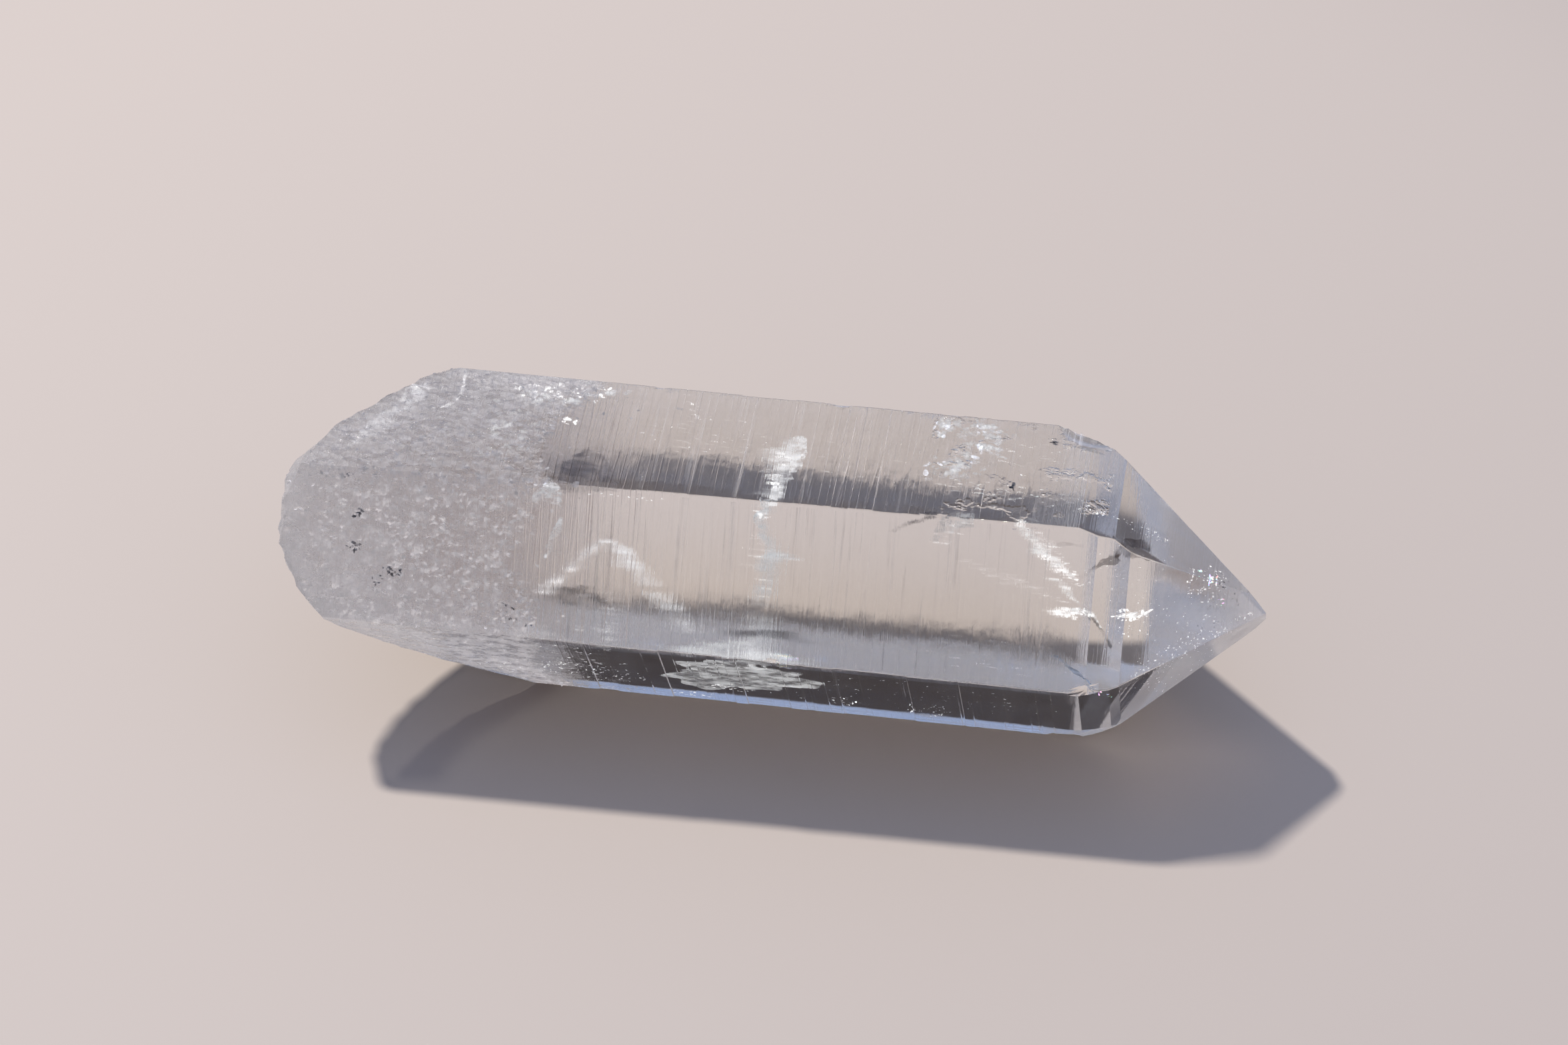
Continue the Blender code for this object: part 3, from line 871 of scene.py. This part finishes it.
# Cracks: each part is a path of (pixel x, pixel y, width in pixels, depth in mm) in the photograph's frame,
# with its tilt
cracks = {
    "centralCrack": (
        (((1206, 655, 10, 0.5), (1190, 682, 36, 0.8), (1172, 702, 40, 1.0), (1160, 728, 26, 1.2),
          (1152, 746, 18, 1.2)), 0.8),
        (((1151, 750, 16, 0.4), (1143, 775, 20, 0.8), (1148, 802, 18, 1.2), (1160, 830, 34, 1.6),
          (1152, 858, 20, 2.0), (1147, 888, 16, 2.4), (1140, 912, 8, 2.6)), -1.0),
        (((1155, 832, 30, 1.6), (1176, 836, 16, 1.7), (1196, 839, 3, 1.8)), 0.4),
        (((1140, 918, 7, 2.6), (1131, 950, 15, 2.8), (1127, 972, 16, 2.6), (1122, 990, 7, 2.2)), 0.7),
        (((1140, 925, 6, 2.6), (1149, 950, 12, 2.7), (1144, 985, 6, 2.4)), -0.5),
    ),
    "secondCrack": (
        (((812, 890, 4, 1.8), (852, 858, 4, 1.6), (897, 816, 6, 1.4), (919, 812, 6, 1.4)), 0.2),
        (((921, 813, 10, 1.4), (944, 838, 22, 1.7), (962, 858, 17, 2.0), (980, 880, 6, 2.3)), 1.2),
        (((984, 888, 8, 2.4), (1004, 908, 11, 2.6), (1020, 924, 7, 2.7), (1038, 950, 5, 2.9)), 0.6),
    ),
    "rightCrack": (
        (((1528, 781, 4, 0.6), (1545, 803, 12, 0.8), (1564, 826, 16, 1.0), (1588, 850, 9, 1.1),
          (1614, 870, 3, 1.2)), 0.5),
        (((1576, 868, 3, 1.3), (1590, 872, 10, 1.4), (1604, 888, 8, 1.4), (1620, 907, 3, 1.5)), -0.6),
        (((1579, 921, 2, 1.8), (1600, 919, 5, 1.8), (1620, 917, 9, 1.8), (1634, 922, 10, 1.8),
          (1648, 942, 2, 1.8)), 0.4),
        (((1678, 926, 3, 1.6), (1700, 922, 7, 1.6), (1716, 919, 8, 1.6), (1730, 914, 2, 1.6)), 0.4),
    ),
    "baseLedge": (
        (((524, 668, 5, 0.5), (546, 652, 16, 0.5), (570, 634, 22, 0.5), (594, 612, 26, 0.4),
          (622, 590, 20, 0.3), (646, 576, 6, 0.2)), 0.5),
        (((699, 556, 3, 0.1), (695, 580, 5, 0.12), (682, 600, 5, 0.12), (661, 612, 3, 0.1)), 0.3),
        (((794, 752, 6, 0.2), (812, 742, 22, 0.25), (828, 744, 26, 0.25), (840, 760, 8, 0.2)), 0.9),
        (((800, 728, 3, 0.1), (820, 729, 5, 0.12), (840, 733, 4, 0.12)), 0.2),
        (((818, 838, 5, 0.3), (828, 812, 12, 0.3), (838, 788, 9, 0.3), (842, 776, 4, 0.3)), 0.7),
    ),
    "smallFeather": (
        (((1400, 812, 3, 0.8), (1409, 800, 10, 0.9), (1415, 788, 14, 1.0), (1422, 776, 8, 1.0)), 0.8),
        (((1424, 798, 4, 1.0), (1438, 788, 14, 1.0), (1452, 780, 10, 1.1), (1462, 775, 3, 1.2)), -0.9),
    ),
    "bluishNeedle": (
        (((1583, 983, 3, 1.0), (1605, 1002, 4, 1.0), (1626, 1017, 5, 1.0), (1642, 1037, 3, 1.0)), 0.1),
    ),
    # dark sheets: partly dark films, partly painted shade where the dark under the crystal shows through
    "darkFilmAndPaintedShade": (
        (((818, 724, 6, 0.7), (842, 710, 26, 0.8), (868, 700, 34, 0.9), (892, 702, 26, 0.9),
          (926, 726, 6, 0.9)), 0.4),
        (((818, 898, 8, 1.8), (846, 888, 24, 1.9), (880, 893, 18, 1.9), (904, 905, 6, 1.9)), 0.4),
        (((1092, 950, 8, 2.0), (1140, 953, 17, 2.1), (1190, 958, 14, 2.1), (1224, 966, 4, 2.1)), 0.4),
        (((1627, 913, 4, 1.4), (1645, 940, 5, 1.5), (1664, 972, 4, 1.6)), 0.2),
        (((1338, 798, 3, 0.6), (1356, 789, 4, 0.6), (1376, 780, 3, 0.6)), 0.1),
        (((1372, 786, 3, 0.7), (1388, 778, 4, 0.7), (1404, 776, 3, 0.7)), 0.1),
    ),
    # a brown painted shadow of a fracture, soft and blurred
    "paintedShadowWisp": (
        (((1620, 868, 5, 1.0), (1660, 838, 18, 1.2), (1698, 814, 16, 1.2), (1728, 824, 6, 1.2)), 0.5),
        (((1584, 819, 4, 0.9), (1604, 817, 9, 0.9), (1626, 819, 4, 0.9)), 0.3),
    ),
}

sheetFinish = {  # colour, roughness, least and most alpha, noise scale and stretch, film in nm, painted glow
    "centralCrack": ((0.92, 0.94, 0.97, 1.0), 0.2, 0.15, 1.0, 2.6, 1.0, 0.0, 0.5),
    "secondCrack": ((0.96, 0.96, 0.98, 1.0), 0.2, 0.4, 1.0, 2.1, 1.0, 0.0, 0.8),
    "rightCrack": ((1.0, 0.99, 0.98, 1.0), 0.2, 0.05, 1.0, 4.0, 0.8, 380.0, 0.75),
    "baseLedge": ((0.95, 0.95, 0.98, 1.0), 0.25, 0.0, 0.85, 3.2, 0.8, 0.0, 0.5),
    "smallFeather": ((0.90, 0.92, 0.95, 1.0), 0.15, 0.0, 0.7, 3.0, 1.0, 0.0, 0.25),
    "bluishNeedle": ((0.55, 0.66, 0.86, 1.0), 0.2, 0.6, 0.9, 1.0, 1.0, 0.0, 0.2),
    # partly a dark film, partly painted shade
    "darkFilmAndPaintedShade": ((0.075, 0.06, 0.07, 1.0), 0.4, 0.12, 0.62, 1.6, 0.6, 0.0, 0.0),
    # brown painted shadow of a fracture
    "paintedShadowWisp": ((0.20, 0.12, 0.09, 1.0), 0.5, 0.05, 0.55, 0.9, 0.6, 0.0, 0.0),
    "shellFeather": ((0.95, 0.96, 0.98, 1.0), 0.16, 0.2, 1.0, 1.7, 0.5, 0.0, 0.6),
    # bright flakes that glow as painted glints
    "paintedGlintBits": ((1.0, 1.0, 1.0, 1.0), 0.2, 0.85, 1.0, 2.0, 1.0, 400.0, 1.3),
    "darkBits": ((0.07, 0.08, 0.12, 1.0), 0.3, 0.75, 1.0, 2.0, 1.0, 0.0, 0.0),
    "etchedPatches": ((0.93, 0.95, 0.98, 1.0), 0.4, 0.0, 0.5, 1.8, 0.6, 0.0, 0.2),
}


def addCracks():
    for number, (name, parts) in enumerate(cracks.items()):
        sheets = [crackSheet(path, tilt, number * 20 + i) for i, (path, tilt) in enumerate(parts)]
        dressPiece(joinSheets(name, sheets), sheetMaterial(name + "Finish", *sheetFinish[name]))


feather = {  # the shell-shaped crack low in the front: a fan of ripples, in pixels and mm
    "centre": (1108, 1016), "halfWide": 106, "halfHigh": 21, "slant": 0.07,
    "depth": 1.3, "fall": 0.7, "ripple": 0.08, "ripples": 5.0,
    "edgeWaves": ((0.14, 3, 1), (0.11, 7, 0), (0.07, 13, 2)),  # height, how many, start
}


def shellFeather():
    # an ellipse of (share out, angle), its depth falling across it and rippling outwards
    out = np.linspace(0.02, 1.0, 30)[:, None]
    angle = np.linspace(0.0, 2 * math.pi, 97)[None, :]
    edge = sum((high * np.sin(count * angle + start) for high, count, start in feather["edgeWaves"]), 1.0)
    across = feather["halfWide"] * out * edge * np.cos(angle)
    down = feather["halfHigh"] * out * edge * np.sin(angle) + feather["slant"] * across
    pixels = np.stack((feather["centre"][0] + across, feather["centre"][1] + down), axis=-1)
    ripple = feather["ripple"] * np.sin(out * feather["ripples"] * 2 * math.pi) * out
    depth = feather["depth"] - feather["fall"] * np.sin(angle) * out + ripple
    return joinSheets("shellFeather", [seenInside(pixels, depth)])


# Clusters of small bright or dark bits, the bright ones glowing as painted glints: middle and half size in
# pixels, slant in degrees, how many, smallest and largest half length in mm, least and most depth in mm
paintedGlintBits = (
    ((1060, 655), (100, 34), 4, 90, 0.02, 0.055, 0.1, 1.5),
    ((860, 590), (90, 14), 3, 60, 0.04, 0.12, 0.1, 0.5),
    ((850, 631), (19, 5), 5, 14, 0.08, 0.2, 0.1, 0.3),
    ((914, 926), (11, 38), 8, 70, 0.02, 0.07, 1.4, 2.6),
    ((860, 985), (80, 22), 8, 110, 0.03, 0.09, 0.4, 2.0),
    ((885, 1008), (85, 12), 7, 120, 0.03, 0.09, 0.05, 0.3),
    ((1262, 1053), (24, 6), 5, 22, 0.04, 0.09, 0.05, 0.3),
    ((1393, 1066), (34, 9), 5, 40, 0.03, 0.08, 0.05, 0.3),
    ((1330, 1050), (270, 14), 5, 70, 0.02, 0.05, 0.05, 0.9),
    ((1740, 940), (90, 50), -20, 90, 0.02, 0.045, 0.1, 1.5),
    ((1163, 723), (8, 9), 0, 9, 0.08, 0.16, 0.5, 0.9),
    ((1143, 772), (9, 8), 0, 8, 0.08, 0.15, 0.4, 0.9),
    ((1175, 986), (9, 4), 20, 8, 0.05, 0.1, 1.5, 2.0),
    ((1100, 1034), (34, 5), 5, 40, 0.04, 0.12, 0.8, 1.8),
    ((1040, 1042), (32, 6), 8, 30, 0.04, 0.1, 0.3, 0.9),
    ((1606, 919), (32, 8), 3, 34, 0.04, 0.12, 1.2, 2.0),
    ((1700, 923), (26, 8), -4, 26, 0.05, 0.13, 1.2, 1.8),
    ((1575, 830), (50, 12), 48, 60, 0.03, 0.1, 0.6, 1.6),
    ((1520, 872), (90, 7), 22, 60, 0.02, 0.06, 0.5, 2.5),
    ((1810, 880), (32, 32), 0, 60, 0.02, 0.07, 0.1, 1.6),
    ((1712, 794), (46, 7), 25, 40, 0.02, 0.06, 0.2, 0.6),
    ((1560, 748), (110, 14), 12, 90, 0.02, 0.06, 0.2, 0.9),
    ((1640, 765), (20, 5), 5, 24, 0.03, 0.07, 0.2, 0.5),
    ((1600, 858), (34, 9), 42, 50, 0.03, 0.08, 1.0, 1.6),
    ((1760, 1000), (70, 30), -30, 90, 0.02, 0.06, 0.1, 1.2),
    ((1480, 735), (80, 12), 8, 34, 0.03, 0.09, 0.2, 0.9),
    ((1560, 690), (60, 30), 10, 36, 0.02, 0.06, 0.1, 0.8),
    ((1400, 1040), (180, 14), 5, 60, 0.02, 0.07, 0.2, 1.2),
    ((1250, 690), (160, 30), 5, 40, 0.015, 0.04, 0.1, 1.5),
    ((1500, 985), (120, 30), 6, 40, 0.02, 0.05, 0.4, 2.0),
    ((1165, 700), (14, 22), 30, 16, 0.05, 0.12, 0.4, 1.1),
    ((1040, 605), (8, 24), -20, 12, 0.04, 0.1, 0.3, 0.8),
    ((1770, 985), (95, 26), -32, 70, 0.015, 0.05, 0.05, 0.5),
    ((1850, 940), (40, 10), -35, 26, 0.02, 0.06, 0.05, 0.3),
    ((1690, 850), (70, 60), 0, 50, 0.012, 0.035, 0.2, 2.0),
    ((770, 1000), (60, 8), 8, 40, 0.03, 0.08, 0.1, 0.4),
    ((1110, 1010), (90, 12), 5, 60, 0.03, 0.09, 0.8, 1.5),
    ((930, 745), (70, 5), 4, 18, 0.03, 0.07, 0.1, 0.4),
    ((1140, 860), (14, 60), 0, 30, 0.03, 0.08, 1.2, 2.4),
    ((1430, 795), (36, 16), -35, 18, 0.03, 0.08, 0.6, 1.2),
)
# bits that glow in rainbow colours as painted glints
paintedRainbowGlintBits = (
    ((1818, 875), (10, 4), -8, 7, 0.06, 0.1, 0.4, 1.2),
    ((1828, 900), (14, 12), 0, 6, 0.04, 0.08, 0.4, 1.4),
    ((1804, 858), (5, 3), 0, 4, 0.07, 0.12, 0.4, 0.8),
    ((1178, 986), (9, 4), 20, 8, 0.05, 0.1, 1.2, 1.9),
    ((1660, 1045), (14, 5), 20, 8, 0.04, 0.08, 0.3, 0.8),
)
darkBits = (
    ((1582, 665), (5, 3), 0, 5, 0.1, 0.16, 0.1, 0.3),
    ((1520, 731), (4, 5), 0, 5, 0.1, 0.15, 0.1, 0.3),
    ((536, 770), (9, 7), 0, 12, 0.08, 0.17, 0.06, 0.2),
    ((530, 820), (14, 7), 0, 16, 0.06, 0.14, 0.06, 0.2),
    ((590, 857), (18, 7), 10, 22, 0.06, 0.15, 0.06, 0.2),
    ((566, 870), (8, 8), 0, 8, 0.05, 0.1, 0.06, 0.2),
    ((770, 925), (34, 14), 30, 26, 0.04, 0.1, 0.05, 0.2),
    ((520, 712), (12, 4), 0, 8, 0.04, 0.08, 0.05, 0.15),
    ((1835, 890), (30, 30), 0, 22, 0.03, 0.06, 0.1, 0.9),
    ((1790, 960), (50, 14), -35, 18, 0.03, 0.06, 0.1, 0.9),
)


bitShape = {"long": (1.0, 1.9), "wide": (0.35, 0.9)}  # both as shares of a bit's size


def scatterBits(name, clusters, seed):
    # bits spread evenly in a slanted ellipse of pixels, each at its own depth, turned every way
    draw = np.random.RandomState(seed)
    centres, sizes = [], []
    for middle, half, slant, count, small, large, near, far in clusters:
        out, angle = np.sqrt(draw.uniform(size=count)), draw.uniform(0, 2 * math.pi, count)
        across, down = half[0] * out * np.cos(angle), half[1] * out * np.sin(angle)
        pixels = slantedPixels(middle, across, down, slant)
        centres.append(seenInside(pixels, draw.uniform(near, far, count)))
        sizes.append(draw.uniform(small, large, count))
    centres, sizes = np.concatenate(centres), np.concatenate(sizes)
    longHalf = sizes * draw.uniform(*bitShape["long"], len(sizes))
    wideHalf = sizes * draw.uniform(*bitShape["wide"], len(sizes))
    return flakes(name, centres, longHalf, wideHalf, randomAxes(draw, len(sizes)), draw)


# the noise, spread of hues, saturation and strength of the painted rainbow glints
rainbow = {"noise": (4.0, 0.0), "spread": (0.3, 0.7), "saturation": 0.5, "paintedGlow": 1.4}


def paintedRainbowGlintFinish():
    # a colour of the rainbow for each place, glowing as a painted glint: a noise gives its hue
    material, tree, shader = newMaterial("paintedRainbowGlintFinish")
    spread = addRange(tree, addNoise(tree, millimetres(tree), *rainbow["noise"]), *rainbow["spread"])
    values = {0: spread, 1: rainbow["saturation"], 2: 1.0}
    hue = addNode(tree, "ShaderNodeCombineColor", values, mode="HSV").outputs[0]
    setInputs(tree, shader, {
        "Base Color": hue, "Emission Color": hue, "Emission Strength": rainbow["paintedGlow"], "Roughness": 0.2})
    return material


sheen = {  # painted sheen and shade: pale and dark streaks that the growth lines draw on the faces, as a film just under them
    "from": -9.5, "to": 15.8, "margin": 0.015, "grid": (40, 8), "depth": 0.1, "faces": (0, 1, 2),
    "fineStreaks": (4.2, 0.10, 4.0, 0.7), "fineCut": (0.52, 0.72), "patches": (0.22, 1.0, 0.45, 0.16),
    "wideStreaks": (2.1, 0.06, 2.0, 0.5), "wideCut": (0.44, 0.5),
    "mostAlpha": 0.34, "pale": (0.93, 0.90, 0.90, 1.0), "dark": (0.17, 0.12, 0.11, 1.0), "paintedGlow": 0.12,
}


def paintedGrowthSheen():
    # one flat grid under each of the faces: x along it, and a share of the way across
    sheets = []
    rows, columns = sheen["grid"]
    along = np.linspace(sheen["from"], sheen["to"], rows)
    across = np.linspace(sheen["margin"], 1 - sheen["margin"], columns)
    for face in sheen["faces"]:
        x, share = np.meshgrid(along, across, indexing="ij")
        sheets.append(insideSide(x, (face - 1) % 6 + share, np.full(x.shape, sheen["depth"])))
    piece = joinSheets("paintedGrowthSheen", sheets)
    material, tree, shader = newMaterial("paintedGrowthSheenFinish")
    place = millimetres(tree)
    fine = useGroup(tree, growthStreaks, place, *sheen["fineStreaks"])
    shown = addMath(tree, "MULTIPLY", addRange(tree, fine, *sheen["fineCut"], soft=True),
                    useGroup(tree, patchMask, place, *sheen["patches"]))
    wide = useGroup(tree, growthStreaks, place, *sheen["wideStreaks"])
    # the pale streaks are a painted sheen and the dark ones painted shade, and the film glows as well
    blend = addBlend(tree, addRange(tree, wide, *sheen["wideCut"]), sheen["dark"], sheen["pale"])
    setInputs(tree, shader, {
        "Base Color": blend, "Emission Color": blend, "Emission Strength": sheen["paintedGlow"], "Roughness": 0.4,
        "Alpha": addRange(tree, shown, 0.0, 1.0, 0.0, sheen["mostAlpha"])})
    return piece, material


etched = {  # pale etched patches just under the top face: middle and half size in pixels, slant, how many
    "patches": (
        ((1422, 642), (22, 14), 10, 40),
        ((1488, 647), (38, 16), 8, 70),
        ((1487, 675), (22, 13), 0, 40),
        ((1432, 700), (44, 20), -10, 80),
        ((1449, 666), (14, 14), 0, 24),
        ((806, 595), (24, 10), 3, 40),
        ((857, 601), (12, 6), 3, 20),
        ((908, 590), (34, 3), -2, 24),
        ((760, 640), (50, 40), 0, 60),
    ),
    "size": (0.07, 0.2), "long": (1.2, 2.4), "depth": (0.05, 0.12), "gather": 0.5, "tilt": 0.04, "seed": 31,
}


def etchedPatches():
    draw = np.random.RandomState(etched["seed"])
    centres = []
    for middle, half, slant, count in etched["patches"]:
        across = np.clip(draw.normal(size=count) * etched["gather"], -1, 1) * half[0]
        down = np.clip(draw.normal(size=count) * etched["gather"], -1, 1) * half[1]
        pixels = slantedPixels(middle, across, down, slant)
        centres.append(seenInside(pixels, draw.uniform(*etched["depth"], count)))
    centres = np.concatenate(centres)
    size = draw.uniform(*etched["size"], len(centres))
    return flakes("etchedPatches", centres, size * draw.uniform(*etched["long"], len(size)), size,
                  randomAxes(draw, len(size), (0.0, 0.0, 1.0), etched["tilt"]), draw, 7)


# Light, floor and world

studio = {
    "keyFrom": (-0.43, 0.345, 0.834), "keyDistance": 0.8, "keySize": 0.05, "keyPower": 27.5, "keyCone": 17.0,
    "keyColour": (1.0, 0.965, 0.92), "keyBlend": 0.6,
    "skyHigh": (0.58, 0.76, 1.18, 1.0),
    "lowBehind": (0.03, 0.022, 0.02, 1.0), "lowInFront": (0.42, 0.385, 0.365, 1.0),
    "skyStrength": 0.56, "skyRise": (0.03, 0.75), "skyBehind": (-0.6, 0.5),
    "floorColour": (0.44, 0.375, 0.325, 1.0), "floorSize": 0.7, "floorDrop": 0.00006,
}


def addLamp():
    data = bpy.data.lights.new("keyLamp", "SPOT")
    data.energy, data.color = studio["keyPower"], studio["keyColour"]
    data.shadow_soft_size = studio["keySize"] / 2
    data.spot_size, data.spot_blend = math.radians(studio["keyCone"]), studio["keyBlend"]
    lamp = bpy.data.objects.new("keyLamp", data)
    bpy.context.scene.collection.objects.link(lamp)
    away = np.array(studio["keyFrom"]) / np.linalg.norm(studio["keyFrom"])
    side = np.cross((0.0, 0.0, 1.0), away)
    side /= np.linalg.norm(side)
    standAt(lamp, side, np.cross(away, side), away, away * studio["keyDistance"])


def addSky():
    # a sky that is pale blue above, grey low in front and dim low behind
    world = bpy.data.worlds.new("studioSky")
    world.use_nodes = True
    bpy.context.scene.world = world
    tree = world.node_tree
    direction = addNode(tree, "ShaderNodeTexCoord").outputs["Generated"]
    parts = addNode(tree, "ShaderNodeSeparateXYZ", {0: direction})
    rise = addRange(tree, parts.outputs["Z"], *studio["skyRise"], soft=True)
    behind = addRange(tree, parts.outputs["Y"], *studio["skyBehind"], soft=True)
    low = addBlend(tree, behind, studio["lowInFront"], studio["lowBehind"])
    setInputs(tree, tree.nodes["Background"], {
        "Color": addBlend(tree, rise, low, studio["skyHigh"]), "Strength": studio["skyStrength"]})


def addFloor():
    # a plain pale floor, a hair under the face that the crystal rests on
    half, drop = studio["floorSize"] / 2, -studio["floorDrop"]
    corners = np.array([(-half, -half, drop), (half, -half, drop), (half, half, drop), (-half, half, drop)])
    floor = makeMesh("studioFloor", corners, np.array([[0, 1, 2, 3]]))
    material, tree, shader = newMaterial("paleFloor")
    setInputs(tree, shader, {"Base Color": studio["floorColour"], "Roughness": 0.7})
    floor.data.materials.append(material)


def setRendering():
    # enough bounces for light to pass all the way through and back
    scene = bpy.context.scene
    scene.view_settings.view_transform = "Standard"
    scene.view_settings.look = "Medium High Contrast"
    scene.cycles.max_bounces = 20
    scene.cycles.transmission_bounces = 18
    scene.cycles.transparent_max_bounces = 24
    scene.cycles.glossy_bounces = 8
    scene.cycles.diffuse_bounces = 3
    scene.cycles.caustics_reflective = False
    scene.cycles.caustics_refractive = False


addCamera()
addLamp()
addSky()
addFloor()
setRendering()
print("camera and studio placed")
body = crystalBody()
dressPiece(body, quartzGlass(), shades=True)
print("crystal grown")
dressPiece(*milkyFlakes())
print("milky base filled")
addCracks()
dressPiece(shellFeather(), sheetMaterial("featherFinish", *sheetFinish["shellFeather"]))
print("cracks placed")
# bright flakes that glow as painted glints
paintedGlintFinish = sheetMaterial("paintedGlintBitFinish", *sheetFinish["paintedGlintBits"])
dressPiece(scatterBits("paintedGlintBits", paintedGlintBits, 41), paintedGlintFinish)
dressPiece(scatterBits("darkBits", darkBits, 42), sheetMaterial("darkBitFinish", *sheetFinish["darkBits"]))
dressPiece(etchedPatches(), sheetMaterial("etchFinish", *sheetFinish["etchedPatches"]))
dressPiece(scatterBits("paintedRainbowGlintBits", paintedRainbowGlintBits, 43), paintedRainbowGlintFinish())
print("flakes and specks placed")
dressPiece(*paintedGrowthSheen())
print("growth lines drawn")
